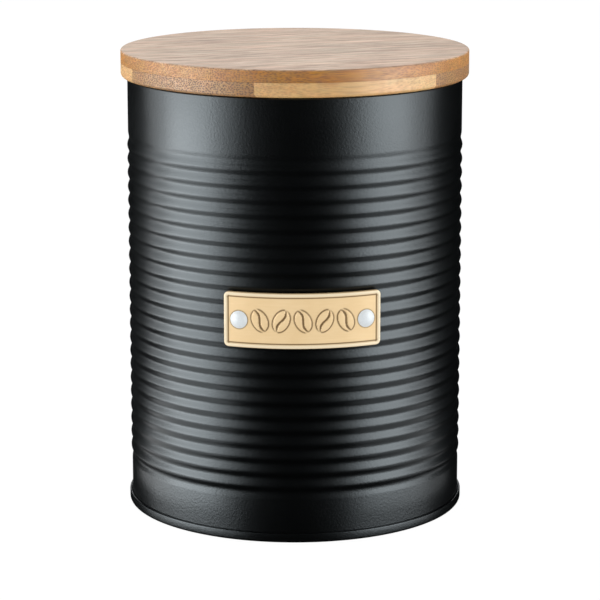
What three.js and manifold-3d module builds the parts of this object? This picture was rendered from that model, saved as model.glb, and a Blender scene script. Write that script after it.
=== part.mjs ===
// Round coffee tin: a ribbed steel canister with a riveted label plate and a bamboo lid that plugs into its mouth.
// Millimetres, +Z up. The origin is the centre of the footprint, and the label faces -Y.
import * as THREE from "three";
import { mergeVertices } from "three/addons/utils/BufferGeometryUtils.js";
import Module from "manifold-3d";

const wasm = await Module();
wasm.setup();

// ---- Driving dimensions ----
const OVERALL_HEIGHT = 153;
const LID_RADIUS = 57.5;
const WALL_RADIUS = 55.4; // outside of the plain bands
const SHEET = 0.5; // coated sheet steel
const GAP = 0.3; // clearance between pieces that touch on the real tin

// Ribs rolled into the wall
const RIB_COUNT = 23;
const RIB_PITCH = 4.67;
const RIB_DEPTH = 0.6; // crest to valley
const LOWEST_RIB = 18.6; // height of its crest

// Seam that joins base and wall
const SEAM_RADIUS = 56.35;
const SEAM_HEIGHT = 3.1;
const SEAM_FLOOR = 0.8; // metal under the wall's lower edge
const BASE_RECESS = 3.6; // underside of the base above the rest plane

// Fold at the mouth
const HEM_THICKNESS = 1.1;
const HEM_HEIGHT = 8;

// Lid: a board of two layers over a plug of two layers
const TOP_LAYER = 4.1;
const LOWER_LAYER = 4.7;
const PLUG_LAYER = 5.3;
const PLUG_RADIUS = 52.8;
const GROOVE_RADIUS = 50.8;
const GROOVE_HEIGHT = 5.8;
const EDGE_BREAK = 0.5; // chamfer on the lid's edges
const STRIP_WIDTH = 21.7;
const GRAIN_ANGLE = THREE.MathUtils.degToRad(16.6); // grain direction, turned from +X towards +Y
const TOP_JOINT = 3.7; // one glue joint of each layer, across the grain from the centre
const LOWER_JOINT = -5.4;
const PLUG_LOWER_JOINT = STRIP_WIDTH / 2;

// Silicone seal
const SEAL_INNER = 51.2;
const SEAL_BODY = 52.6;
const SEAL_FIN = 54;
const FIN_THICKNESS = 0.9;
const FIN_PITCH = 2.9;

// Label plate and rivets
const PLATE_HEIGHT = 17.9;
const PLATE_HALF_ANGLE = THREE.MathUtils.degToRad(26.3);
const PLATE_THICKNESS = 0.5;
const PLATE_CENTRE = 73.2;
const PLATE_CORNER = 1.6;
const BORDER_WIDTH = 1.3;
const BORDER_RELIEF = 0.4;
const RIVET_ANGLE = THREE.MathUtils.degToRad(20.9);
const RIVET_HEAD_RADIUS = 2.85;
const RIVET_HEAD_HEIGHT = 1.3;
const SHANK_RADIUS = 1.5;
const TAIL_RADIUS = 2.6;
const TAIL_HEIGHT = 0.8;
const BEAN_COUNT = 5;
const BEAN_PITCH = 6.9;
const BEAN_LENGTH = 7.4;
const BEAN_WIDTH = 4.8;
const BEAN_RELIEF = 0.55;
const BEAN_TILT = THREE.MathUtils.degToRad(24);

// Facets
const TIN_SEGMENTS = 36;
const LID_SEGMENTS = 72;
const PLATE_SEGMENTS = 96;
const RIVET_SEGMENTS = 14;

// ---- Heights and radii worked out from them ----
const LID_UNDERSIDE = OVERALL_HEIGHT - TOP_LAYER - LOWER_LAYER;
const RIM = LID_UNDERSIDE - GAP;
const MOUTH_RADIUS = WALL_RADIUS - HEM_THICKNESS;
const PLUG_TOP = LID_UNDERSIDE - GAP;
const PLUG_BOTTOM = LID_UNDERSIDE - 2 * PLUG_LAYER;
const GROOVE_CENTRE = LID_UNDERSIDE - PLUG_LAYER;
const CREST_RADIUS = WALL_RADIUS + RIB_DEPTH / 2;
const VALLEY_RADIUS = WALL_RADIUS - RIB_DEPTH / 2;
const PLATE_INNER = CREST_RADIUS + GAP;
const PLATE_OUTER = PLATE_INNER + PLATE_THICKNESS;
const SEAM_OUTER_LEG = WALL_RADIUS + GAP; // inner face of the seam's outer leg
const SEAM_INNER_LEG = WALL_RADIUS - SHEET - GAP; // outer face of the seam's inner leg

const FINISH = {
  enamel: { color: 0x131416, roughness: 0.42, metalness: 0.0 },
  brass: { color: 0xd9bd84, roughness: 0.32, metalness: 1.0 },
  rivet: { color: 0xd9dce0, roughness: 0.3, metalness: 1.0 },
  bamboo: { color: 0xc79f74, roughness: 0.62, metalness: 0.0 },
  silicone: { color: 0xe4e1da, roughness: 0.5, metalness: 0.0 },
};

// ---- Solid and mesh helpers ----

// A closed geometry as a solid, with shared vertices merged and collapsed faces dropped.
function solidOf(geometry) {
  const bare = new THREE.BufferGeometry();
  bare.setAttribute("position", geometry.getAttribute("position"));
  bare.setIndex(geometry.getIndex());
  const merged = mergeVertices(bare, 1e-4);
  const index = merged.getIndex().array;
  const faces = [];
  for (let i = 0; i < index.length; i += 3) {
    const [a, b, c] = index.slice(i, i + 3);
    if (a !== b && b !== c && c !== a) faces.push(a, b, c);
  }
  const vertProperties = new Float32Array(merged.getAttribute("position").array);
  const triVerts = new Uint32Array(faces);
  return new wasm.Manifold(new wasm.Mesh({ numProp: 3, vertProperties, triVerts }));
}

function addPiece(group, name, solid, finish) {
  const made = solid.getMesh();
  const geometry = new THREE.BufferGeometry();
  geometry.setAttribute("position", new THREE.BufferAttribute(made.vertProperties, made.numProp));
  geometry.setIndex(new THREE.BufferAttribute(made.triVerts, 1));
  geometry.computeVertexNormals();
  const mesh = new THREE.Mesh(geometry, new THREE.MeshStandardMaterial(FINISH[finish]));
  mesh.name = name;
  group.add(mesh);
}

// Turns a profile of [radius, height] points round the Z axis.
function turned(points, segments) {
  const profile = points.map(([radius, height]) => new THREE.Vector2(radius, height));
  return solidOf(new THREE.LatheGeometry(profile, segments).rotateX(Math.PI / 2));
}

function ring(inner, outer, low, high, segments) {
  const section = [[inner, low], [outer, low], [outer, high], [inner, high], [inner, low]];
  return turned(section, segments);
}

function box(width, depth, height) {
  return new THREE.BoxGeometry(width, depth, height);
}

// ---- Tin ----

// Outline of the rolled wall from the lowest valley to the highest: one valley below each crest, and one on top.
function ribbedOutline(inset) {
  const points = [];
  for (let rib = 0; rib < RIB_COUNT; rib++) {
    const crest = LOWEST_RIB + rib * RIB_PITCH;
    points.push([VALLEY_RADIUS - inset, crest - RIB_PITCH / 2]);
    points.push([CREST_RADIUS - inset, crest]);
  }
  points.push([VALLEY_RADIUS - inset, LOWEST_RIB + (RIB_COUNT - 0.5) * RIB_PITCH]);
  return points;
}

// The wall sheet from its lower edge up to the fold at the mouth.
function sheetOutline(inset, top) {
  const lowerBand = LOWEST_RIB - RIB_PITCH;
  const upperBand = LOWEST_RIB + RIB_COUNT * RIB_PITCH;
  const face = WALL_RADIUS - inset;
  return [[face, SEAM_FLOOR + GAP], [face, lowerBand], ...ribbedOutline(inset), [face, upperBand], [face, top]];
}

// The rounded top of the fold, from its outer face over to its inner face.
function foldOutline() {
  const radius = HEM_THICKNESS / 2;
  const steps = 4;
  const points = [];
  for (let step = 1; step < steps; step++) {
    const angle = (step / steps) * Math.PI;
    const reach = radius * Math.cos(angle);
    points.push([WALL_RADIUS - radius + reach, RIM - radius + radius * Math.sin(angle)]);
  }
  return points;
}

function radialCylinder(radius, from, to, angle) {
  const geometry = new THREE.CylinderGeometry(radius, radius, to - from, RIVET_SEGMENTS);
  geometry.translate(0, -(from + to) / 2, 0);
  geometry.rotateZ(angle);
  geometry.translate(0, 0, PLATE_CENTRE);
  return solidOf(geometry);
}

function withRivetHoles(solid) {
  const drill = (angle) => radialCylinder(SHANK_RADIUS + GAP, GROOVE_RADIUS, LID_RADIUS + 2, angle);
  return solid.subtract(drill(-RIVET_ANGLE)).subtract(drill(RIVET_ANGLE));
}

function tinWall() {
  const foldEdge = RIM - HEM_THICKNESS / 2;
  const hemFoot = RIM - HEM_HEIGHT;
  const outside = sheetOutline(0, foldEdge);
  const inside = sheetOutline(SHEET, hemFoot).reverse();
  const hem = [[MOUTH_RADIUS, foldEdge], [MOUTH_RADIUS, hemFoot]];
  const outline = [...outside, ...foldOutline(), ...hem, ...inside, outside[0]];
  return withRivetHoles(turned(outline, TIN_SEGMENTS));
}

// The base sheet: a recessed panel with one ring bead, and the channel of the seam round the wall's lower edge.
function basePanel() {
  const corner = 0.5;
  const legInside = SEAM_INNER_LEG - SHEET;
  const beadFoot = 44;
  const beadTop = 46;
  const beadEnd = 48;
  const beadRelief = 0.6;
  const panel = (face) => [
    [legInside - corner, face],
    [beadEnd, face],
    [beadTop, face + beadRelief],
    [beadFoot, face],
    [0, face],
  ];
  const outline = [
    ...panel(BASE_RECESS).reverse(),
    [legInside, BASE_RECESS - corner],
    [legInside, corner],
    [legInside + corner, 0],
    [SEAM_RADIUS - corner, 0],
    [SEAM_RADIUS, corner],
    [SEAM_RADIUS, SEAM_HEIGHT - corner / 2],
    [SEAM_OUTER_LEG + corner / 2, SEAM_HEIGHT],
    [SEAM_OUTER_LEG, SEAM_HEIGHT - corner / 2],
    [SEAM_OUTER_LEG, SEAM_FLOOR],
    [SEAM_INNER_LEG, SEAM_FLOOR],
    [SEAM_INNER_LEG, BASE_RECESS],
    ...panel(BASE_RECESS + SHEET),
  ];
  return turned(outline, TIN_SEGMENTS);
}

// ---- Label plate ----

// A bar along Y with a rounded rectangle as its section, from the axis out through the front of the tin.
function plateBar(halfWidth, halfHeight, corner) {
  const outline = new THREE.Shape();
  outline.moveTo(halfWidth, corner - halfHeight);
  outline.absarc(halfWidth - corner, halfHeight - corner, corner, 0, Math.PI / 2);
  outline.absarc(corner - halfWidth, halfHeight - corner, corner, Math.PI / 2, Math.PI);
  outline.absarc(corner - halfWidth, corner - halfHeight, corner, Math.PI, 1.5 * Math.PI);
  outline.absarc(halfWidth - corner, corner - halfHeight, corner, 1.5 * Math.PI, 2 * Math.PI);
  const options = { depth: LID_RADIUS + 2, bevelEnabled: false, curveSegments: 4 };
  const geometry = new THREE.ExtrudeGeometry(outline, options).rotateX(Math.PI / 2);
  return solidOf(geometry.translate(0, 0, PLATE_CENTRE));
}

function plateRing(inner, outer) {
  const low = PLATE_CENTRE - PLATE_HEIGHT;
  return ring(inner, outer, low, PLATE_CENTRE + PLATE_HEIGHT, PLATE_SEGMENTS);
}

// One bean of the embossed row: a low dome, longer than wide and tilted.
function bean(place) {
  const geometry = new THREE.SphereGeometry(1, 10, 6);
  geometry.scale(BEAN_WIDTH / 2, BEAN_RELIEF, BEAN_LENGTH / 2);
  geometry.rotateY(place % 2 === 0 ? BEAN_TILT : -BEAN_TILT);
  geometry.translate(0, -PLATE_OUTER + 0.05, 0);
  geometry.rotateZ(((place - (BEAN_COUNT - 1) / 2) * BEAN_PITCH) / PLATE_OUTER);
  return solidOf(geometry.translate(0, 0, PLATE_CENTRE));
}

function labelPlate() {
  const halfWidth = PLATE_OUTER * Math.sin(PLATE_HALF_ANGLE);
  const halfHeight = PLATE_HEIGHT / 2;
  const blank = plateBar(halfWidth, halfHeight, PLATE_CORNER);
  const inside = plateBar(halfWidth - BORDER_WIDTH, halfHeight - BORDER_WIDTH, PLATE_CORNER / 2);
  const sheet = plateRing(PLATE_INNER, PLATE_OUTER).intersect(blank);
  const border = plateRing(PLATE_INNER, PLATE_OUTER + BORDER_RELIEF).intersect(blank.subtract(inside));
  let plate = withRivetHoles(sheet.add(border));
  for (let place = 0; place < BEAN_COUNT; place++) plate = plate.add(bean(place));
  return plate;
}

// A rivet turned on its own axis, with its domed head outside the plate and its closed tail inside the wall.
function rivet(angle) {
  const headFoot = PLATE_OUTER + GAP;
  const tailTop = VALLEY_RADIUS - SHEET - GAP;
  const domeRadius = (RIVET_HEAD_RADIUS ** 2 + RIVET_HEAD_HEIGHT ** 2) / (2 * RIVET_HEAD_HEIGHT);
  const dome = [];
  const steps = 4;
  for (let step = 0; step <= steps; step++) {
    const radius = RIVET_HEAD_RADIUS * (1 - step / steps);
    const rise = Math.sqrt(domeRadius ** 2 - radius ** 2) - domeRadius + RIVET_HEAD_HEIGHT;
    dome.push(new THREE.Vector2(radius, headFoot + rise));
  }
  const outline = [
    new THREE.Vector2(0, tailTop - TAIL_HEIGHT),
    new THREE.Vector2(TAIL_RADIUS, tailTop - TAIL_HEIGHT),
    new THREE.Vector2(TAIL_RADIUS, tailTop),
    new THREE.Vector2(SHANK_RADIUS, tailTop),
    new THREE.Vector2(SHANK_RADIUS, headFoot),
    ...dome,
  ];
  const geometry = new THREE.LatheGeometry(outline, RIVET_SEGMENTS);
  geometry.rotateX(Math.PI);
  geometry.rotateZ(angle);
  return solidOf(geometry.translate(0, 0, PLATE_CENTRE));
}

// ---- Lid ----

// A ring that fills the plug's groove, with two fins that reach the mouth.
function lidSeal() {
  const low = GROOVE_CENTRE - GROOVE_HEIGHT / 2 + GAP;
  const high = GROOVE_CENTRE + GROOVE_HEIGHT / 2 - GAP;
  const outline = [[SEAL_INNER, low], [SEAL_BODY, low]];
  for (const side of [-1, 1]) {
    const centre = GROOVE_CENTRE + (side * FIN_PITCH) / 2;
    outline.push([SEAL_BODY, centre - FIN_THICKNESS / 2]);
    outline.push([SEAL_FIN, centre - FIN_THICKNESS / 4]);
    outline.push([SEAL_FIN, centre + FIN_THICKNESS / 4]);
    outline.push([SEAL_BODY, centre + FIN_THICKNESS / 2]);
  }
  outline.push([SEAL_BODY, high], [SEAL_INNER, high], [SEAL_INNER, low]);
  return turned(outline, TIN_SEGMENTS);
}

function topBlank() {
  const low = LID_UNDERSIDE + LOWER_LAYER + GAP / 2;
  const shoulder = OVERALL_HEIGHT - EDGE_BREAK;
  const rim = [[LID_RADIUS, low], [LID_RADIUS, shoulder], [LID_RADIUS - EDGE_BREAK, OVERALL_HEIGHT]];
  return turned([[0, low], ...rim, [0, OVERALL_HEIGHT]], LID_SEGMENTS);
}

function lowerBlank() {
  const high = LID_UNDERSIDE + LOWER_LAYER - GAP / 2;
  const shoulder = LID_UNDERSIDE + EDGE_BREAK;
  const rim = [[LID_RADIUS - EDGE_BREAK, LID_UNDERSIDE], [LID_RADIUS, shoulder], [LID_RADIUS, high]];
  return turned([[0, LID_UNDERSIDE], ...rim, [0, high]], LID_SEGMENTS);
}

// Half of the plug: a disc turned down to the groove's floor on its side towards the groove.
function plugUpperBlank() {
  const low = GROOVE_CENTRE + GAP / 2;
  const shoulder = GROOVE_CENTRE + GROOVE_HEIGHT / 2;
  const rim = [[GROOVE_RADIUS, low], [GROOVE_RADIUS, shoulder], [PLUG_RADIUS, shoulder], [PLUG_RADIUS, PLUG_TOP]];
  return turned([[0, low], ...rim, [0, PLUG_TOP]], LID_SEGMENTS);
}

function plugLowerBlank() {
  const high = GROOVE_CENTRE - GAP / 2;
  const shoulder = GROOVE_CENTRE - GROOVE_HEIGHT / 2;
  const outline = [
    [0, PLUG_BOTTOM],
    [PLUG_RADIUS - EDGE_BREAK, PLUG_BOTTOM],
    [PLUG_RADIUS, PLUG_BOTTOM + EDGE_BREAK],
    [PLUG_RADIUS, shoulder],
    [GROOVE_RADIUS, shoulder],
    [GROOVE_RADIUS, high],
    [0, high],
  ];
  return turned(outline, LID_SEGMENTS);
}

// Glue joints of one layer, across the grain, at every place where both strips beside it have some width.
function jointPlaces(joint, radius) {
  const places = [];
  const least = 6;
  const first = Math.ceil((least - radius - joint) / STRIP_WIDTH);
  for (let step = first; joint + step * STRIP_WIDTH < radius - least; step++) {
    places.push(joint + step * STRIP_WIDTH);
  }
  return places;
}

// Saws a round blank into strips along the grain, numbered from the front of the tin to the back.
function addStrips(group, prefix, blank, joint, radius) {
  const edges = [-LID_RADIUS - 1, ...jointPlaces(joint, radius), LID_RADIUS + 1];
  for (let strip = 1; strip < edges.length; strip++) {
    const low = edges[strip - 1] + GAP / 2;
    const high = edges[strip] - GAP / 2;
    const saw = box(3 * LID_RADIUS, high - low, 2 * OVERALL_HEIGHT);
    saw.translate(0, (low + high) / 2, OVERALL_HEIGHT).rotateZ(GRAIN_ANGLE);
    addPiece(group, `${prefix}_strip_${strip}`, blank.intersect(solidOf(saw)), "bamboo");
  }
}

// ---- Assembly ----

function makeTin() {
  const tin = new THREE.Group();
  addPiece(tin, "tin_wall", tinWall(), "enamel");
  addPiece(tin, "base_panel", basePanel(), "enamel");
  addPiece(tin, "label_plate", labelPlate(), "brass");
  addPiece(tin, "rivet_left", rivet(-RIVET_ANGLE), "rivet");
  addPiece(tin, "rivet_right", rivet(RIVET_ANGLE), "rivet");
  return tin;
}

function makeLid() {
  const lid = new THREE.Group();
  addPiece(lid, "lid_seal", lidSeal(), "silicone");
  addStrips(lid, "top", topBlank(), TOP_JOINT, LID_RADIUS);
  addStrips(lid, "lower", lowerBlank(), LOWER_JOINT, LID_RADIUS);
  addStrips(lid, "plug_upper", plugUpperBlank(), TOP_JOINT, PLUG_RADIUS);
  addStrips(lid, "plug_lower", plugLowerBlank(), PLUG_LOWER_JOINT, PLUG_RADIUS);
  return lid;
}

const coffeeTin = new THREE.Group();
coffeeTin.add(makeTin(), makeLid());
export default coffeeTin;
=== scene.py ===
"""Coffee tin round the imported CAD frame: fine meshes, materials, studio and camera.

Metres, +Z up, the label plate faces -Y. Angles round the tin are measured from the label, towards +X.
"""
import math

import bmesh
import bpy
from mathutils import Matrix, Vector

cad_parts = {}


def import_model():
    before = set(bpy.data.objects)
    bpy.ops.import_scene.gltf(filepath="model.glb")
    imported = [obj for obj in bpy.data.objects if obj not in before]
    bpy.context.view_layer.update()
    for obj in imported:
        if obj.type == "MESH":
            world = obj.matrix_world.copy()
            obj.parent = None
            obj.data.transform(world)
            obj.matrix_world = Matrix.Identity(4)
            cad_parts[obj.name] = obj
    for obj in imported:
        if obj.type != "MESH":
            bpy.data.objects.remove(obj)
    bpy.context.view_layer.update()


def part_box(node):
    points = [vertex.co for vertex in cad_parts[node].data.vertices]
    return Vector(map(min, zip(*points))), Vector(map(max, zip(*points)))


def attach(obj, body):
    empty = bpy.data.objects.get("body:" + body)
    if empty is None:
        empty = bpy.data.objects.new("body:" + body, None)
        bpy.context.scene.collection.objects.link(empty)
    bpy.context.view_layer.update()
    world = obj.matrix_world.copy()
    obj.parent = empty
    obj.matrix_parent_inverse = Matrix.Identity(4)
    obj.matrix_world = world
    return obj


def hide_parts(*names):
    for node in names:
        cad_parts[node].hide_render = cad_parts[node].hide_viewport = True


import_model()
MM = 0.001

# ---- Sizes that the frame doesn't give ----

# Wall. GAP is the clearance between two CAD solids.
RIB_COUNT = 23
RIB_PITCH = 4.67 * MM
RIB_DEPTH = 0.6 * MM
LOWEST_RIB = 18.6 * MM
SHEET = 0.5 * MM
GAP = 0.3 * MM
HEM_THICKNESS = 1.1 * MM
HEM_HEIGHT = 8 * MM
HEM_BEVEL_WIDTH = 0.2 * MM
HEM_BEVEL_HEIGHT = 0.25 * MM
LAP_HALF = 2.2 * MM
LAP_RELIEF = 0.22 * MM
LAP_FLANK = 0.4 * MM

# Base. Its middle is raised from RAISED_OUTER inwards, and its flat cap starts at CAP_RADIUS.
SEAM_HEIGHT = 3.1 * MM
SEAM_CLEARANCE = 0.12 * MM
SEAM_FLOOR = 0.95 * MM
SEAM_BEND = 0.7 * MM
SEAM_LIP = 0.3 * MM
BASE_RECESS = 3.6 * MM
BEAD_RADIUS = 46 * MM
BEAD_HALF_WIDTH = 2 * MM
BEAD_RELIEF = 0.6 * MM
BEAD_STEPS = 12
RAISED_OUTER = 30 * MM
RAISED_INNER = 29 * MM
RAISED_HEIGHT = BEAD_RELIEF / 2
CAP_RADIUS = 12 * MM

# Label plate. The bean's flank, crown and crease are shares of its half width or of its relief.
PLATE_THICKNESS = 0.5 * MM
PLATE_CORNER = 1.7 * MM
PLATE_STEP = 0.2 * MM
BORDER_WIDTH = 1.25 * MM
BORDER_RELIEF = 0.4 * MM
BORDER_FULLNESS = 0.8
BEAN_COUNT = 5
BEAN_PITCH = 6.9 * MM
BEAN_LENGTH = 7.6 * MM
BEAN_WIDTH = 5.2 * MM
BEAN_RELIEF = 0.5 * MM
BEAN_TILT = math.radians(24)
BEAN_FLANK = 0.2
BEAN_CROWN = 0.25
BEAN_CREASE_BEND = 0.2
BEAN_CREASE_CUT = 0.9
BEAN_CREASE_FLOOR = 0.06
BEAN_CREASE_EDGE = 0.24

# Painted shade darkens the plate in its creases and round the rivets, and a painted highlight makes its
# border paler.
# The two names below are the vertex attributes that tell its material where.
CREASE_SHADE = "crease"
BORDER_HIGHLIGHT = "border_highlight"
CREASE_DEPTH = 0.055 * MM
CREASE_REACH = 0.42 * MM
RIVET_SHADE = 0.45 * MM

# Rivets
RIVET_ANGLE = math.radians(20.9)
RIVET_HEAD_RADIUS = 2.85 * MM
RIVET_HEAD_HEIGHT = 1.3 * MM
RIVET_INSET = 0.06 * MM
RIVET_EDGE = 0.2 * MM
SHANK_RADIUS = 1.5 * MM
TAIL_RADIUS = 2.6 * MM
TAIL_HEIGHT = 0.8 * MM
TAIL_CAP = 0.4 * TAIL_RADIUS
DOME_END = 89.5

# Lid. Each layer's joint is the place of one of its saw cuts, across the grain from the axis.
STRIP_WIDTH = 21.7 * MM
NARROWEST_STRIP = 6 * MM
GRAIN_ANGLE = math.radians(16.6)
JOINTS = {"top": 3.7 * MM, "lower": -5.4 * MM, "plug_upper": 3.7 * MM, "plug_lower": STRIP_WIDTH / 2}
STRIP_COUNTS = {"top": 6, "lower": 6, "plug_upper": 5, "plug_lower": 5}
GLUE_LINE = 0.02 * MM
TOP_EDGE = 0.55 * MM
BOTTOM_EDGE = 1.1 * MM
PLUG_EDGE = 0.6 * MM
GROOVE_RADIUS = 50.8 * MM

# Seal. The fin's sides are points (out from the ring, up from the fin's middle).
RING_INNER = 51.0 * MM
RING_OUTER = 52.7 * MM
RING_EDGE = 0.35 * MM
FIN_OFFSET = 1.45 * MM
FIN_UNDERSIDE = ((0, -0.5 * MM), (0.5 * MM, -0.3 * MM))
FIN_UPPER_SIDE = ((0.5 * MM, 0.35 * MM), (0, 0.55 * MM))
FIN_TIP_RADIUS = 0.2 * MM
FIN_TIP_RISE = 0.15 * MM

# Points round a turned piece
ROUND_STEPS = 192
LID_STEPS = 240
RIVET_STEPS = 48

# ---- Sizes from the frame ----
wall_low, wall_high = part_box("tin_wall")
plate_low, plate_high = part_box("label_plate")
seal_low, seal_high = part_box("lid_seal")
WALL_RADIUS = wall_high.x - RIB_DEPTH / 2
RIM = wall_high.z
BASE_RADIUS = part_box("base_panel")[1].x
LID_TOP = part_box("top_strip_1")[1].z
PLATE_CENTRE = (plate_low.z + plate_high.z) / 2
PLATE_FRONT = -plate_low.y - BORDER_RELIEF
PLATE_HALF_WIDTH = PLATE_FRONT * math.asin(plate_high.x / (PLATE_FRONT + BORDER_RELIEF))
PLATE_HALF_HEIGHT = (plate_high.z - plate_low.z) / 2


def layer_box(prefix):
    """(radius, lowest height, highest height) of one layer of strips."""
    boxes = [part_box(f"{prefix}_strip_{k}") for k in range(1, STRIP_COUNTS[prefix] + 1)]
    radius = max(high.x for _, high in boxes)
    return radius, min(low.z for low, _ in boxes), max(high.z for _, high in boxes)


# ---- Mesh helpers ----


def arc(centre, radius, start, end, steps):
    """Points (radius, height) on a circle round centre, from start to end in degrees."""
    points = []
    for k in range(steps + 1):
        angle = math.radians(start + (end - start) * k / steps)
        points.append((centre[0] + radius * math.cos(angle), centre[1] + radius * math.sin(angle)))
    return points


def even_angles(steps):
    """Angles of a full turn in equal steps."""
    return [2 * math.pi * k / steps for k in range(steps)]


def smooth(low, high, value):
    """0 below low, 1 above high, and a soft S between them."""
    share = min(max((value - low) / (high - low), 0), 1)
    return share * share * (3 - 2 * share)


def turned_point(outline_point, angle, lift):
    """The place of one point of a turned outline."""
    radius, height = outline_point
    out = radius + (lift(angle, radius, height) if lift else 0)
    return out * math.sin(angle), -out * math.cos(angle), height


def revolved(outline, angles, closed, lift=None):
    """Turns an outline of (radius, height) round Z as a bmesh.

    An outline that isn't closed gets a flat cap at each end. lift(angle, radius, height) gives how far
    a point stands out from the outline.
    """
    mesh = bmesh.new()
    rings = []
    for angle in angles:
        rings.append([mesh.verts.new(turned_point(point, angle, lift)) for point in outline])
    last = len(outline) if closed else len(outline) - 1
    for k, ring in enumerate(rings):
        beside = rings[(k + 1) % len(rings)]
        for j in range(last):
            up = (j + 1) % len(outline)
            mesh.faces.new((ring[j], beside[j], beside[up], ring[up]))
    if not closed:
        mesh.faces.new([ring[0] for ring in reversed(rings)])
        mesh.faces.new([ring[-1] for ring in rings])
    bmesh.ops.recalc_face_normals(mesh, faces=mesh.faces)
    return mesh


def piece(name, mesh, node, body, material, crease=32):
    """Makes an object of a bmesh that stands for one CAD node. Edges over crease degrees stay sharp."""
    data = bpy.data.meshes.new(name)
    mesh.to_mesh(data)
    mesh.free()
    data.shade_smooth()
    data.set_sharp_from_angle(angle=math.radians(crease))
    data.materials.append(material)
    made = bpy.data.objects.new(name, data)
    bpy.context.scene.collection.objects.link(made)
    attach(made, body)
    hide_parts(node)
    return made


# ---- Material helpers ----

# Bamboo's fibre ends: how sharply they turn into side grain, and where a dot starts and stops to fade
END_GRAIN_POWER = 1.5
FIBRE_CORE = 0.16
FIBRE_RIM = 0.42


class Shader:
    """A material with a Principled shader and short calls for the nodes that feed it."""

    def __init__(self, name, **values):
        self.material = bpy.data.materials.new(name)
        self.material.use_nodes = True
        self.tree = self.material.node_tree
        self.principled = self.tree.nodes["Principled BSDF"]
        for key, value in values.items():
            self.principled.inputs[key.replace("_", " ")].default_value = value

    def fill(self, socket, value):
        """Links a socket to an input, or sets the input to a value."""
        if isinstance(value, bpy.types.NodeSocket):
            self.tree.links.new(value, socket)
        else:
            socket.default_value = value

    def node(self, kind, links=None, **settings):
        """Adds a node. links fills its inputs by name or number, and settings its properties."""
        made = self.tree.nodes.new("ShaderNode" + kind)
        for key, value in settings.items():
            setattr(made, key, value)
        for key, value in (links or {}).items():
            self.fill(made.inputs[key], value)
        return made

    def feed(self, socket, value):
        """Fills one input of the Principled shader."""
        self.fill(self.principled.inputs[socket], value)

    def math(self, operation, first, second):
        """One step of arithmetic."""
        return self.node("Math", {0: first, 1: second}, operation=operation).outputs[0]

    def span(self, value, start=0.0, end=1.0, low=0.0, high=1.0):
        """Takes value from the range start to end over to the range low to high."""
        return self.node("MapRange", {0: value, 1: start, 2: end, 3: low, 4: high}).outputs[0]

    def place(self, stretch=(1, 1, 1), turn=0.0, shift=(0, 0, 0)):
        """Object coordinates in millimetres, turned about Z and stretched."""
        coords = self.node("TexCoord").outputs["Object"]
        turned = self.node("Mapping", {"Vector": coords, "Rotation": (0, 0, -turn)}).outputs[0]
        scale = [s / MM for s in stretch]
        return self.node("Mapping", {"Vector": turned, "Scale": scale, "Location": shift}).outputs[0]

    def noise(self, place, scale, detail=2.0, roughness=0.5):
        """Cloudy noise from 0 to 1."""
        links = {"Vector": place, "Scale": scale, "Detail": detail, "Roughness": roughness}
        return self.node("TexNoise", links).outputs["Fac"]

    def lines(self, along, across, shift, detail, roughness=0.5):
        """Noise drawn out along the grain. along and across are its waves per millimetre."""
        place = self.place((along, across, across), GRAIN_ANGLE, shift)
        return self.noise(place, 1.0, detail, roughness)

    def ramp(self, value, *stops):
        """Grey from a value, in a straight line between two (position, level) stops."""
        made = self.node("ValToRGB", {"Fac": value})
        points = made.color_ramp.elements
        for point, (position, level) in zip(points, stops):
            point.position = position
            point.color = (level, level, level, 1)
        return made.outputs["Color"]

    def mix(self, factor, first, second, blend="MIX"):
        """Mixes two colours. The sockets go by number, because the node has others of the same names."""
        links = {0: factor, 6: first, 7: second}
        return self.node("Mix", links, data_type="RGBA", blend_type=blend).outputs[2]

    def fibre_ends(self, per_millimetre):
        """Fibre bundles that run along the grain: 1 inside a bundle, 0 between them."""
        place = self.place((1, per_millimetre, per_millimetre), GRAIN_ANGLE)
        parts = self.node("SeparateXYZ", {0: place}).outputs
        across = self.node("CombineXYZ", {0: parts["Y"], 1: parts["Z"]}).outputs[0]
        links = {"Vector": across, "Scale": 1.0, "Randomness": 0.8}
        cells = self.node("TexVoronoi", links, voronoi_dimensions="2D")
        return self.ramp(cells.outputs["Distance"], (FIBRE_CORE, 1.0), (FIBRE_RIM, 0.0))

    def end_grain(self):
        """1 where the surface is sawn across the grain, 0 where it runs with it."""
        normal = self.node("TexCoord").outputs["Normal"]
        grain = (math.cos(GRAIN_ANGLE), math.sin(GRAIN_ANGLE), 0)
        facing = self.node("VectorMath", {0: normal, 1: grain}, operation="DOT_PRODUCT")
        return self.math("POWER", self.math("ABSOLUTE", facing.outputs["Value"], 0.0), END_GRAIN_POWER)

    def bump(self, height, strength, distance):
        """Fine relief from a pattern. distance is how high a value of 1 stands, before strength."""
        links = {"Height": height, "Strength": strength, "Distance": distance}
        self.feed("Normal", self.node("Bump", links).outputs[0])


def linear(value):
    """The linear level of an sRGB screen value from 0 to 255."""
    share = value / 255
    return share / 12.92 if share <= 0.04045 else ((share + 0.055) / 1.055) ** 2.4


def tone(red, green, blue):
    """A linear colour from screen values."""
    return (linear(red), linear(green), linear(blue), 1)


# ---- Materials ----

# Brass: how much of the darker rolled lines, the painted border highlight and the painted crease shade
# shows, and the stretch of the lines round the tin
ROLLED_SHARE = 0.3
BORDER_HIGHLIGHT_SHARE = 0.75
CREASE_SHADE_SHARE = 0.9
ROLLED_STRETCH = (0.15, 0.15, 2.2)

# Bamboo: shares of the three kinds of line in the grain, and the grain's contrast
FIBRE_SHARE = 0.35
STREAK_SHARE = 0.4
BAND_SHARE = 0.25
GRAIN_CURVE = ((0.4, 0.0), (0.6, 1.0))

# Bamboo: factors on the colour of redder and greener streaks, and the shift of their pattern
WARM = (1.06, 0.97, 0.95, 1)
COOL = (0.97, 1.01, 1.0, 1)
HUE_SHIFT = 7

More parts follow.
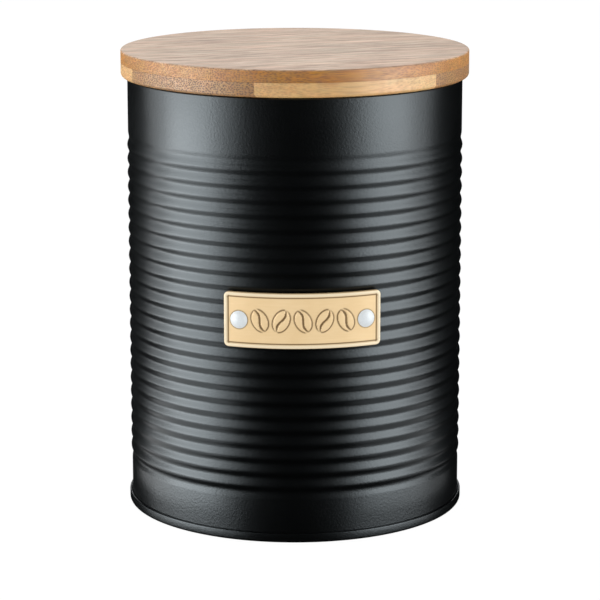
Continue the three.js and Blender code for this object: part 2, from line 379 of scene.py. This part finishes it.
# Bamboo: dots per millimetre, their strength where the cut runs with the grain, and the tint of a strip
# that has none
DOTS_PER_MM = 1.7
DOTS_WITH_GRAIN = 0.35
TINT_WITHOUT_DOTS = 1.35

# Bamboo: what open fibre ends and the sanded top face add to the roughness
OPEN_END_ROUGHNESS = 0.14
SANDED_ROUGHNESS = 0.24


def enamel():
    """Satin black coating with a fine orange peel."""
    made = Shader("satin_black", Specular_IOR_Level=0.85, Specular_Tint=(0.84, 0.945, 1, 1))
    place = made.place()
    cloud = made.noise(place, scale=0.05, detail=3)
    made.feed("Base Color", made.mix(cloud, tone(1, 1, 2), tone(2, 3, 3)))
    made.feed("Roughness", made.span(cloud, low=0.26, high=0.33))
    peel = made.noise(place, scale=1.4, detail=3, roughness=0.6)
    made.bump(peel, strength=0.5, distance=0.11 * MM)
    return made.material


def brass_colour(made, rolled):
    """Pale brass with darker rolled lines, a painted highlight on the border and painted shade in the
    creases and round the rivets.
    """
    cloud = made.noise(made.place(), scale=0.09, detail=3)
    patches = made.ramp(cloud, (0.35, 0.0), (0.65, 1.0))
    colour = made.mix(patches, tone(240, 209, 160), tone(246, 217, 170))
    colour = made.mix(made.math("MULTIPLY", rolled, ROLLED_SHARE), colour, tone(208, 172, 112))
    # Painted highlight: the border bead turns pale cream.
    border_highlight = made.node("Attribute", attribute_name=BORDER_HIGHLIGHT).outputs["Fac"]
    colour = made.mix(made.math("MULTIPLY", border_highlight, BORDER_HIGHLIGHT_SHARE), colour, tone(240, 228, 201))
    # Painted shade: the creases and the rings round the rivets turn brown.
    crease = made.node("Attribute", attribute_name=CREASE_SHADE).outputs["Fac"]
    return made.mix(made.math("MULTIPLY", crease, CREASE_SHADE_SHARE), colour, tone(104, 76, 34))


def brass():
    """Pale satin brass with a faint rolled grain."""
    made = Shader("satin_brass", Metallic=0.06, Specular_IOR_Level=0.32)
    along = made.place(stretch=ROLLED_STRETCH)
    rolled = made.noise(along, scale=1.0, detail=3, roughness=0.6)
    made.feed("Base Color", brass_colour(made, rolled))
    made.feed("Roughness", made.span(rolled, low=0.44, high=0.56))
    made.bump(rolled, strength=0.15, distance=0.02 * MM)
    return made.material


def rivet_metal():
    """Bright satin aluminium."""
    made = Shader("satin_aluminium", Metallic=0.06, Specular_IOR_Level=0.45)
    cloud = made.noise(made.place(), scale=2.2, detail=3)
    made.feed("Base Color", made.mix(cloud, tone(212, 219, 223), tone(232, 238, 241)))
    made.feed("Roughness", made.span(cloud, low=0.44, high=0.56))
    made.bump(made.noise(made.place(), scale=3.0), strength=0.5, distance=0.03 * MM)
    return made.material


def silicone():
    """Milky silicone."""
    made = Shader("milky_silicone", Roughness=0.5, Specular_IOR_Level=0.3)
    cloud = made.noise(made.place(), scale=0.3)
    made.feed("Base Color", made.mix(cloud, tone(184, 183, 176), tone(200, 199, 193)))
    made.bump(made.noise(made.place(), scale=2.0), strength=0.1, distance=0.02 * MM)
    return made.material


def on_top_face(made):
    """1 on the lid's top face, 0 on its rim."""
    height = made.node("SeparateXYZ", {0: made.place()}).outputs["Z"]
    return made.span(height, start=LID_TOP / MM - 0.5, end=LID_TOP / MM - 0.05)


def warm_and_cool(made, colour, seed):
    """Turns a colour a little redder or greener in broad streaks."""
    shift = (seed + HUE_SHIFT, seed, seed)
    hue = made.lines(along=0.04, across=0.3, shift=shift, detail=4, roughness=0.65)
    warm = made.mix(1.0, colour, WARM, "MULTIPLY")
    cool = made.mix(1.0, colour, COOL, "MULTIPLY")
    return made.mix(made.ramp(hue, *GRAIN_CURVE), warm, cool)


def bamboo_lines(made, seed):
    """(fibres, streaks, grain): fine lines, coarser lines, and both with broad bands in one pattern."""
    shift = (seed, seed, seed)
    fibres = made.lines(along=0.06, across=1.3, shift=shift, detail=4, roughness=0.6)
    streaks = made.lines(along=0.08, across=0.6, shift=shift, detail=5, roughness=0.72)
    bands = made.lines(along=0.03, across=0.25, shift=shift, detail=3)
    grain = made.math("MULTIPLY", fibres, FIBRE_SHARE)
    grain = made.math("ADD", grain, made.math("MULTIPLY", streaks, STREAK_SHARE))
    grain = made.math("ADD", grain, made.math("MULTIPLY", bands, BAND_SHARE))
    return fibres, streaks, made.ramp(grain, *GRAIN_CURVE)


def dotted_strip(made, colour, dots, pores):
    """Draws the dots, strongest on dark strips, and tints the strip by its object's colour."""
    strip_tint = made.node("ObjectInfo").outputs["Color"]
    darkness = made.math("SUBTRACT", TINT_WITHOUT_DOTS, strip_tint)
    strength = made.math("MULTIPLY", made.math("MULTIPLY", dots, pores), darkness)
    colour = made.mix(strength, colour, tone(84, 50, 26))
    return made.mix(1.0, colour, strip_tint, "MULTIPLY")


def bamboo(name, pale, deep, pores, seed, face=None):
    """Varnished bamboo: fibres run along the grain, and show as dots where a strip is cut across it.

    pores is the strength of the dots, and seed moves the pattern. face is the (pale, deep) pair of the
    sanded top face, where that differs from the sawn edge: paler and greyer than the edge, partly as
    painted sheen of the varnish.
    """
    made = Shader(name, Specular_IOR_Level=1.0)
    fibres, streaks, grain = bamboo_lines(made, seed)
    sawn_across = made.end_grain()
    dot_share = made.math("ADD", DOTS_WITH_GRAIN, sawn_across)
    dots = made.math("MULTIPLY", made.fibre_ends(DOTS_PER_MM), dot_share)
    colour = made.mix(grain, pale, deep)
    roughness = made.span(streaks, start=0.3, end=0.7, low=0.26, high=0.46)
    open_ends = made.math("MULTIPLY", made.math("ADD", sawn_across, dots), OPEN_END_ROUGHNESS)
    roughness = made.math("ADD", roughness, open_ends)
    if face:
        on_top = on_top_face(made)
        # Partly painted sheen: the top face takes its own paler, greyer tones.
        colour = made.mix(on_top, colour, made.mix(grain, *face))
        roughness = made.math("ADD", roughness, made.math("MULTIPLY", on_top, SANDED_ROUGHNESS))
    colour = warm_and_cool(made, colour, seed)
    made.feed("Base Color", dotted_strip(made, colour, dots, pores))
    made.feed("Roughness", roughness)
    relief = made.math("SUBTRACT", made.math("ADD", fibres, streaks), dots)
    made.bump(relief, strength=0.3, distance=0.05 * MM)
    return made.material


MATERIALS = {
    "enamel": enamel(),
    "brass": brass(),
    "rivet": rivet_metal(),
    "silicone": silicone(),
    "top": bamboo(
        "bamboo_top",
        pale=tone(193, 132, 42),
        deep=tone(158, 101, 22),
        pores=1.7,
        seed=3.0,
        # The top face's paler, greyer tones are partly painted sheen of the varnish.
        face=(tone(217, 184, 155), tone(148, 116, 89)),
    ),
    "lower": bamboo("bamboo_lower", tone(222, 178, 115), tone(193, 147, 87), pores=1.15, seed=11.0),
    "plug": bamboo("bamboo_plug", tone(176, 140, 98), tone(148, 110, 70), pores=1.2, seed=23.0),
}

# Each layer's strips from the front of the lid to the back: factors on the wood's red, green and blue
TINTS = {
    "top": [
        (0.95, 0.93, 0.88),
        (0.98, 1, 1),
        (0.92, 0.95, 0.94),
        (0.98, 0.99, 0.97),
        (0.94, 0.95, 0.93),
        (0.98, 0.98, 0.96),
    ],
    "lower": [
        (0.99, 1.0, 1.0),
        (0.59, 0.49, 0.37),
        (0.57, 0.49, 0.38),
        (0.92, 0.9, 0.84),
        (0.8, 0.78, 0.73),
        (0.88, 0.86, 0.82),
    ],
    "plug_upper": [
        (1, 1, 1),
        (0.94, 0.92, 0.9),
        (1.04, 1.03, 1.02),
        (0.97, 0.95, 0.93),
        (1, 1, 1),
    ],
    "plug_lower": [
        (0.96, 0.94, 0.93),
        (1.04, 1.03, 1.01),
        (0.95, 0.93, 0.9),
        (1.02, 1.01, 1),
        (0.98, 0.96, 0.94),
    ],
}


# ---- Tin ----


def rib_offset(height):
    """How far the rolled wall stands out from its plain radius at a height."""
    place = (height - LOWEST_RIB) / RIB_PITCH
    past = max(-0.5 - place, place - (RIB_COUNT - 0.5))
    if past > 0:
        return -RIB_DEPTH / 4 * (1 + math.cos(2 * math.pi * min(past, 0.5)))
    return RIB_DEPTH / 2 * math.cos(2 * math.pi * place)


def wall_heights(low, high, steps_per_rib):
    """Heights for the rows of the wall: close in the ribs, and few in the plain bands."""
    start = LOWEST_RIB - RIB_PITCH
    rows = (RIB_COUNT + 1) * steps_per_rib
    ribs = [start + k * RIB_PITCH / steps_per_rib for k in range(rows + 1)]
    return [low, (low + start) / 2, *ribs, (ribs[-1] + high) / 2, high]


def lap_lift(angle, radius, height):
    """The welded lap of the side seam stands out a little on the outside, at the back."""
    if radius < WALL_RADIUS - SHEET / 2 - RIB_DEPTH / 2 or height > RIM - HEM_THICKNESS:
        return 0
    aside = abs(angle - math.pi) * WALL_RADIUS
    return LAP_RELIEF * (1 - smooth(LAP_HALF, LAP_HALF + LAP_FLANK, aside))


def wall_angles():
    """Even angles, with a few more on the flanks of the lap at the back."""
    aside = [LAP_HALF + LAP_FLANK * share for share in (0, 0.33, 0.67, 1)]
    extra = [math.pi + sign * a / WALL_RADIUS for a in aside for sign in (-1, 1)]
    return sorted(even_angles(ROUND_STEPS) + extra)


def tin_wall():
    """The ribbed wall with its side seam and the rolled hem at its mouth."""
    fold = HEM_THICKNESS / 2
    hem_foot = RIM - HEM_HEIGHT
    hem_inner = WALL_RADIUS - HEM_THICKNESS
    outside = wall_heights(wall_low.z, RIM - fold, steps_per_rib=8)
    inside = wall_heights(wall_low.z, hem_foot, steps_per_rib=7)
    outline = [(WALL_RADIUS + rib_offset(z), z) for z in outside[:-1]]
    outline += arc((WALL_RADIUS - fold, RIM - fold), fold, 0, 180, 10)
    outline += [(hem_inner, hem_foot + HEM_BEVEL_HEIGHT), (hem_inner + HEM_BEVEL_WIDTH, hem_foot)]
    outline += [(WALL_RADIUS - SHEET + rib_offset(z), z) for z in reversed(inside)]
    mesh = revolved(outline, wall_angles(), closed=True, lift=lap_lift)
    return piece("ribbed_wall", mesh, "tin_wall", "tin", MATERIALS["enamel"])


def panel(face):
    """One side of the base at the height face, from its ring bead to its raised middle."""
    points = []
    for k in range(BEAD_STEPS + 1):
        angle = math.pi * k / BEAD_STEPS
        radius = BEAD_RADIUS + BEAD_HALF_WIDTH * math.cos(angle)
        points.append((radius, face + BEAD_RELIEF * math.sin(angle) ** 2))
    points += [(RAISED_OUTER, face), (RAISED_INNER, face + RAISED_HEIGHT)]
    points.append((CAP_RADIUS, face + RAISED_HEIGHT))
    return points


def double_seam(edge):
    """The seam's outline from under the panel's edge, down and round the wall, and back up inside it."""
    outer = BASE_RADIUS
    outer_leg = WALL_RADIUS + SEAM_CLEARANCE
    inner_leg = WALL_RADIUS - SHEET - SEAM_CLEARANCE
    panel_top = BASE_RECESS + SHEET
    outline = arc((edge, BASE_RECESS - SEAM_BEND), SEAM_BEND, 90, 0, 5)
    outline += arc((edge + 2 * SEAM_BEND, SEAM_BEND), SEAM_BEND, 180, 270, 6)
    outline += arc((outer - SEAM_BEND, SEAM_BEND), SEAM_BEND, 270, 360, 6)
    outline += arc((outer - SEAM_LIP, SEAM_HEIGHT - SEAM_LIP), SEAM_LIP, 0, 90, 4)
    outline += arc((outer_leg + SEAM_LIP, SEAM_HEIGHT - SEAM_LIP), SEAM_LIP, 90, 180, 4)
    outline += [(outer_leg, SEAM_FLOOR), (inner_leg, SEAM_FLOOR)]
    outline += [(inner_leg, panel_top - SEAM_LIP), (inner_leg - SEAM_LIP, panel_top)]
    return outline


def base_panel():
    """The recessed base with its ring bead, and the double seam round the wall."""
    edge = WALL_RADIUS - 2 * SHEET - GAP - SEAM_BEND
    underside = list(reversed(panel(BASE_RECESS)))
    outline = underside + double_seam(edge) + panel(BASE_RECESS + SHEET)
    mesh = revolved(outline, even_angles(ROUND_STEPS), closed=False)
    return piece("base_and_seam", mesh, "base_panel", "tin", MATERIALS["enamel"])


# ---- Label plate ----


def edge_distance(across, up):
    """Distance inwards from the plate's rounded outline."""
    x = abs(across) - (PLATE_HALF_WIDTH - PLATE_CORNER)
    y = abs(up) - (PLATE_HALF_HEIGHT - PLATE_CORNER)
    outside = math.hypot(max(x, 0), max(y, 0))
    return PLATE_CORNER - outside - min(max(x, y), 0)


def border_relief(distance):
    """The rolled border: a half-round bead."""
    if distance >= BORDER_WIDTH:
        return 0
    share = distance / (BORDER_WIDTH / 2) - 1
    return BORDER_RELIEF * math.sqrt(max(1 - share * share, 0)) ** BORDER_FULLNESS


def bean_relief(across, up, tilt):
    """One embossed coffee bean: a steep-sided oval with a soft crown and a curved crease."""
    x = (across * math.cos(tilt) + up * math.sin(tilt)) / (BEAN_WIDTH / 2)
    y = (up * math.cos(tilt) - across * math.sin(tilt)) / (BEAN_LENGTH / 2)
    reach = math.hypot(x, y)
    if reach > 1:
        return 0
    crown = BEAN_CROWN * math.sqrt(1 - reach * reach)
    body = (1 - BEAN_CROWN) * smooth(0, BEAN_FLANK, 1 - reach) + crown
    from_crease = abs(x - BEAN_CREASE_BEND * math.sin(math.pi * y))
    cut = 1 - smooth(BEAN_CREASE_FLOOR, BEAN_CREASE_EDGE, from_crease)
    return BEAN_RELIEF * body * (1 - BEAN_CREASE_CUT * cut)


def plate_relief(across, up):
    """Height of the plate's front above its plain sheet."""
    relief = border_relief(edge_distance(across, up))
    for k in range(BEAN_COUNT):
        centre = (k - (BEAN_COUNT - 1) / 2) * BEAN_PITCH
        if abs(across - centre) < BEAN_LENGTH / 2:
            relief += bean_relief(across - centre, up, BEAN_TILT if k % 2 == 0 else -BEAN_TILT)
    return relief


def round_corner(across, up):
    """Moves a point of the square grid so that the grid's corners fill the plate's round ones."""
    inner_x = PLATE_HALF_WIDTH - PLATE_CORNER
    inner_y = PLATE_HALF_HEIGHT - PLATE_CORNER
    a = (abs(across) - inner_x) / PLATE_CORNER
    b = (abs(up) - inner_y) / PLATE_CORNER
    if a <= 0 or b <= 0:
        return across, up
    x = inner_x + PLATE_CORNER * a * math.sqrt(1 - b * b / 2)
    y = inner_y + PLATE_CORNER * b * math.sqrt(1 - a * a / 2)
    return math.copysign(x, across), math.copysign(y, up)


def crease_shade(across, up):
    """Painted shade: 1 in a narrow crease of the relief or round a rivet head, where shade falls, 0 on
    open ground.
    """
    beside = [(CREASE_REACH, 0), (-CREASE_REACH, 0), (0, CREASE_REACH), (0, -CREASE_REACH)]
    around = sum(plate_relief(across + x, up + y) for x, y in beside) / len(beside)
    depth = (around - plate_relief(across, up)) / CREASE_DEPTH
    from_rivet = math.hypot(abs(across) - PLATE_FRONT * RIVET_ANGLE, up) - RIVET_HEAD_RADIUS
    return min(max(depth, 1 - abs(from_rivet) / RIVET_SHADE, 0), 1)


def on_cylinder(radius, across, up):
    """The place of a point of the plate, bent round the tin."""
    angle = across / PLATE_FRONT
    return radius * math.sin(angle), -radius * math.cos(angle), PLATE_CENTRE + up


def plate_grid(mesh, columns, rows):
    """Adds the points of the plate's front and back, as two lists of columns."""
    crease = mesh.verts.layers.float.new(CREASE_SHADE)
    border_highlight = mesh.verts.layers.float.new(BORDER_HIGHLIGHT)
    front = []
    back = []
    for i in range(columns + 1):
        front.append([])
        back.append([])
        for j in range(rows + 1):
            across = (2 * i / columns - 1) * PLATE_HALF_WIDTH
            up = (2 * j / rows - 1) * PLATE_HALF_HEIGHT
            across, up = round_corner(across, up)
            relief = plate_relief(across, up)
            point = mesh.verts.new(on_cylinder(PLATE_FRONT + relief, across, up))
            # Painted shade: how dark the creases and the ring round each rivet are painted.
            point[crease] = crease_shade(across, up)
            # Painted highlight: the border bead's relief sets how pale it is painted.
            point[border_highlight] = border_relief(edge_distance(across, up)) / BORDER_RELIEF
            front[i].append(point)
            back[i].append(mesh.verts.new(on_cylinder(PLATE_FRONT - PLATE_THICKNESS, across, up)))
    return front, back


def label_plate():
    """The curved plate with its rolled border and five embossed coffee beans."""
    columns = round(2 * PLATE_HALF_WIDTH / PLATE_STEP)
    rows = round(2 * PLATE_HALF_HEIGHT / PLATE_STEP)
    mesh = bmesh.new()
    front, back = plate_grid(mesh, columns, rows)
    for i in range(columns):
        for j in range(rows):
            mesh.faces.new((front[i][j], front[i + 1][j], front[i + 1][j + 1], front[i][j + 1]))
            mesh.faces.new((back[i][j], back[i][j + 1], back[i + 1][j + 1], back[i + 1][j]))
    edge = [(i, 0) for i in range(columns)] + [(columns, j) for j in range(rows)]
    edge += [(i, rows) for i in range(columns, 0, -1)] + [(0, j) for j in range(rows, 0, -1)]
    for (i, j), (k, l) in zip(edge, edge[1:] + edge[:1]):
        mesh.faces.new((front[i][j], back[i][j], back[k][l], front[k][l]))
    bmesh.ops.recalc_face_normals(mesh, faces=mesh.faces)
    return piece("embossed_plate", mesh, "label_plate", "tin", MATERIALS["brass"], crease=50)


def rivet(name, angle):
    """Domed head, shank and closed tail, turned on the rivet's own axis."""
    seat = PLATE_FRONT - RIVET_INSET
    tail_top = WALL_RADIUS - RIB_DEPTH / 2 - SHEET
    tail_end = tail_top - TAIL_HEIGHT
    dome_radius = (RIVET_HEAD_RADIUS**2 + RIVET_HEAD_HEIGHT**2) / (2 * RIVET_HEAD_HEIGHT)
    spread = math.degrees(math.asin(RIVET_HEAD_RADIUS / dome_radius))
    dome_centre = (0, seat + RIVET_HEAD_HEIGHT - dome_radius)
    outline = [(TAIL_CAP, tail_end)]
    outline += arc((TAIL_RADIUS - RIVET_EDGE, tail_end + RIVET_EDGE), RIVET_EDGE, -90, 0, 4)
    outline += [(TAIL_RADIUS, tail_top), (SHANK_RADIUS, tail_top), (SHANK_RADIUS, seat)]
    outline.append((RIVET_HEAD_RADIUS - RIVET_EDGE / 2, seat))
    outline.append((RIVET_HEAD_RADIUS, seat + RIVET_EDGE / 2))
    outline += arc(dome_centre, dome_radius, 90 - spread, DOME_END, 14)[1:]
    mesh = revolved(outline, even_angles(RIVET_STEPS), closed=False)
    outwards = Matrix.Rotation(angle, 4, "Z") @ Matrix.Rotation(math.pi / 2, 4, "X")
    raised = Matrix.Translation((0, 0, PLATE_CENTRE))
    bmesh.ops.transform(mesh, matrix=raised @ outwards, verts=mesh.verts)
    return piece(name + "_dome", mesh, name, "tin", MATERIALS["rivet"], crease=40)


# ---- Lid ----


def lid_seal():
    """A ring with two soft fins that lean up, in the plug's groove."""
    low, high = seal_low.z, seal_high.z
    tip = seal_high.x - FIN_TIP_RADIUS
    centre = (low + high) / 2
    inner = RING_INNER + RING_EDGE
    outer = RING_OUTER - RING_EDGE
    outline = arc((inner, low + RING_EDGE), RING_EDGE, 180, 270, 3)
    outline += arc((outer, low + RING_EDGE), RING_EDGE, 270, 360, 3)
    for middle in (centre - FIN_OFFSET, centre + FIN_OFFSET):
        outline += [(RING_OUTER + out, middle + up) for out, up in FIN_UNDERSIDE]
        outline += arc((tip, middle + FIN_TIP_RISE), FIN_TIP_RADIUS, -70, 90, 5)
        outline += [(RING_OUTER + out, middle + up) for out, up in FIN_UPPER_SIDE]
    outline += arc((outer, high - RING_EDGE), RING_EDGE, 0, 90, 3)
    outline += arc((inner, high - RING_EDGE), RING_EDGE, 90, 180, 3)
    mesh = revolved(outline, even_angles(ROUND_STEPS), closed=True)
    return piece("silicone_ring", mesh, "lid_seal", "seal", MATERIALS["silicone"], crease=50)


def sawn(blank, low, high):
    """The part of a round blank between two saw cuts along the grain, low and high across it."""
    across = Vector((-math.sin(GRAIN_ANGLE), math.cos(GRAIN_ANGLE), 0))
    strip = blank.copy()
    for place, direction in ((low, -1), (high, 1)):
        everything = strip.verts[:] + strip.edges[:] + strip.faces[:]
        cut = bmesh.ops.bisect_plane(
            strip,
            geom=everything,
            plane_co=across * place,
            plane_no=across * direction,
            clear_outer=True,
        )
        edges = [g for g in cut["geom_cut"] if isinstance(g, bmesh.types.BMEdge)]
        if edges:
            bmesh.ops.contextual_create(strip, geom=edges)
    bmesh.ops.recalc_face_normals(strip, faces=strip.faces)
    return strip


def strip_places(prefix, radius):
    """(low, high) across the grain of each strip of a layer, from front to back."""
    joint = JOINTS[prefix]
    first = math.ceil((NARROWEST_STRIP - radius - joint) / STRIP_WIDTH)
    joints = [joint + (first + k) * STRIP_WIDTH for k in range(STRIP_COUNTS[prefix] - 1)]
    edges = [-2 * radius, *joints, 2 * radius]
    return list(zip(edges, edges[1:]))


def add_layer(prefix, outline, material):
    """Turns one layer of the lid and saws it into its strips, each with its own tint."""
    blank = revolved(outline, even_angles(LID_STEPS), closed=False)
    radius = max(r for r, _ in outline)
    for k, (low, high) in enumerate(strip_places(prefix, radius), start=1):
        mesh = sawn(blank, low + GLUE_LINE, high - GLUE_LINE)
        node = f"{prefix}_strip_{k}"
        made = piece(f"{prefix}_slat_{k}", mesh, node, "lid", material)
        made.color = (*TINTS[prefix][k - 1], 1)
    blank.free()


def disc():
    """The two plies of the lid's disc."""
    radius, top_low, top = layer_box("top")
    _, underside, lower_high = layer_box("lower")
    bond = (top_low + lower_high) / 2
    upper = [(radius, bond + GLUE_LINE)]
    upper += arc((radius - TOP_EDGE, top - TOP_EDGE), TOP_EDGE, 0, 90, 8)
    add_layer("top", upper, MATERIALS["top"])
    lower = arc((radius - BOTTOM_EDGE, underside + BOTTOM_EDGE), BOTTOM_EDGE, -90, 0, 8)
    lower.append((radius, bond - GLUE_LINE))
    add_layer("lower", lower, MATERIALS["lower"])


def plug():
    """The two plies of the plug. They meet in the groove that holds the seal."""
    underside = layer_box("lower")[1]
    radius, bottom, _ = layer_box("plug_lower")
    groove_low = seal_low.z - GAP
    groove_high = seal_high.z + GAP
    middle = (groove_low + groove_high) / 2
    upper = [(GROOVE_RADIUS, middle + GLUE_LINE), (GROOVE_RADIUS, groove_high)]
    upper += [(radius, groove_high), (radius, underside - GLUE_LINE)]
    add_layer("plug_upper", upper, MATERIALS["plug"])
    lower = arc((radius - PLUG_EDGE, bottom + PLUG_EDGE), PLUG_EDGE, -90, 0, 6)
    lower += [(radius, groove_low), (GROOVE_RADIUS, groove_low), (GROOVE_RADIUS, middle - GLUE_LINE)]
    add_layer("plug_lower", lower, MATERIALS["plug"])


# ---- Studio ----

FLOOR_RADIUS = 9
FLOOR_GLOW = 0.96
FLOOR_COLOUR = (0.05, 0.05, 0.05, 1)
TABLE_LIGHT_HEIGHT = 0.002
WHITE = (1, 1, 1, 1)


def floor():
    """A wide pale floor that the tin's gloss doesn't show."""
    bpy.ops.mesh.primitive_circle_add(vertices=96, radius=FLOOR_RADIUS, fill_type="NGON")
    made = bpy.context.object
    made.name = "studio_floor"
    shader = Shader("pale_floor", Base_Color=FLOOR_COLOUR, Roughness=0.9, Specular_IOR_Level=0.0)
    shader.feed("Emission Color", WHITE)
    shader.feed("Emission Strength", FLOOR_GLOW)
    made.data.materials.append(shader.material)
    made.visible_glossy = False
    made.visible_diffuse = False
    made.visible_shadow = False


def world():
    """White surroundings: an even soft light on everything, which the gloss doesn't show."""
    made = bpy.data.worlds.new("studio")
    made.use_nodes = True
    background = made.node_tree.nodes["Background"]
    background.inputs["Color"].default_value = WHITE
    background.inputs["Strength"].default_value = 1.0
    made.cycles_visibility.glossy = False
    bpy.context.scene.world = made


def area_light(name, width, length, radiance, gloss=True):
    """A rectangular light of even radiance.

    With gloss it makes only highlights, and without it only lights matt surfaces.
    """
    data = bpy.data.lights.new(name, "AREA")
    data.shape = "RECTANGLE"
    data.size = width
    data.size_y = length
    data.energy = radiance * math.pi * width * length
    made = bpy.data.objects.new(name, data)
    bpy.context.scene.collection.objects.link(made)
    made.visible_camera = False
    made.visible_diffuse = not gloss
    made.visible_glossy = gloss
    return made


def softbox(name, azimuth, low, high, distance, width, radiance, gloss=True):
    """An upright light at an azimuth round the tin. low and high are the heights of its edges."""
    made = area_light(name, width, high - low, radiance, gloss)
    angle = math.radians(azimuth)
    made.location = (distance * math.sin(angle), -distance * math.cos(angle), (low + high) / 2)
    made.rotation_euler = (math.pi / 2, 0, angle)


def table_glow(name, azimuth, near, far, width, radiance):
    """A level light that stands for a pale table top, from near to far beside the tin.

    It puts soft highlights on the undersides of the ribs.
    """
    made = area_light(name, width, far - near, radiance)
    angle = math.radians(azimuth)
    middle = (near + far) / 2
    made.location = (middle * math.sin(angle), -middle * math.cos(angle), TABLE_LIGHT_HEIGHT)
    made.rotation_euler = (math.pi, 0, angle)


def lights():
    """A narrow box and a wider, weaker one on each side, a high one behind, fills for the edges, and
    the glow of the table.
    """
    softbox("left_core", azimuth=-77, low=-0.16, high=0.66, distance=0.85, width=0.62, radiance=2.95)
    softbox("left_wide", azimuth=-80, low=-0.28, high=0.6, distance=0.85, width=1.32, radiance=1.45)
    softbox("right_core", azimuth=63, low=-0.1, high=0.7, distance=0.85, width=0.52, radiance=2.4)
    softbox("right_wide", azimuth=67, low=-0.24, high=0.75, distance=0.85, width=1.05, radiance=1.45)
    softbox("rear_box", azimuth=180, low=1.7, high=3.9, distance=3.2, width=1.9, radiance=6.2)
    for name, azimuth in (("left_edge_fill", -112), ("right_edge_fill", 110)):
        softbox(name, azimuth, low=0.12, high=0.3, distance=0.4, width=0.3, radiance=6.5, gloss=False)
    table_glow("left_table", azimuth=-70, near=0.07, far=0.2, width=0.1, radiance=1.0)
    table_glow("left_far_table", azimuth=-80, near=0.2, far=0.9, width=0.3, radiance=2.0)
    table_glow("right_table", azimuth=60, near=0.07, far=0.2, width=0.09, radiance=0.5)
    table_glow("right_far_table", azimuth=66, near=0.2, far=0.9, width=0.3, radiance=0.85)


CAMERA_AZIMUTH = math.radians(-2.6)
CAMERA_PITCH = math.radians(12.53)
CAMERA_DISTANCE = 0.85
CAMERA_HEIGHT = 0.2565
CAMERA_PAN = math.radians(0.114)
CAMERA_LENS = 154.87


def camera():
    """A long lens that looks down a little at the label, with the tin just left of the centre."""
    data = bpy.data.cameras.new("camera")
    data.lens = CAMERA_LENS
    data.sensor_width = 36
    data.clip_start = 0.05
    data.clip_end = 50
    made = bpy.data.objects.new("camera", data)
    bpy.context.scene.collection.objects.link(made)
    made.location = (
        CAMERA_DISTANCE * math.sin(CAMERA_AZIMUTH),
        -CAMERA_DISTANCE * math.cos(CAMERA_AZIMUTH),
        CAMERA_HEIGHT,
    )
    made.rotation_euler = (math.pi / 2 - CAMERA_PITCH, 0, CAMERA_AZIMUTH - CAMERA_PAN)
    bpy.context.scene.camera = made


# ---- Scene ----
tin_wall()
base_panel()
label_plate()
rivet("rivet_left", -RIVET_ANGLE)
rivet("rivet_right", RIVET_ANGLE)
lid_seal()
disc()
plug()
floor()
world()
lights()
camera()
bpy.context.scene.view_settings.view_transform = "Standard"
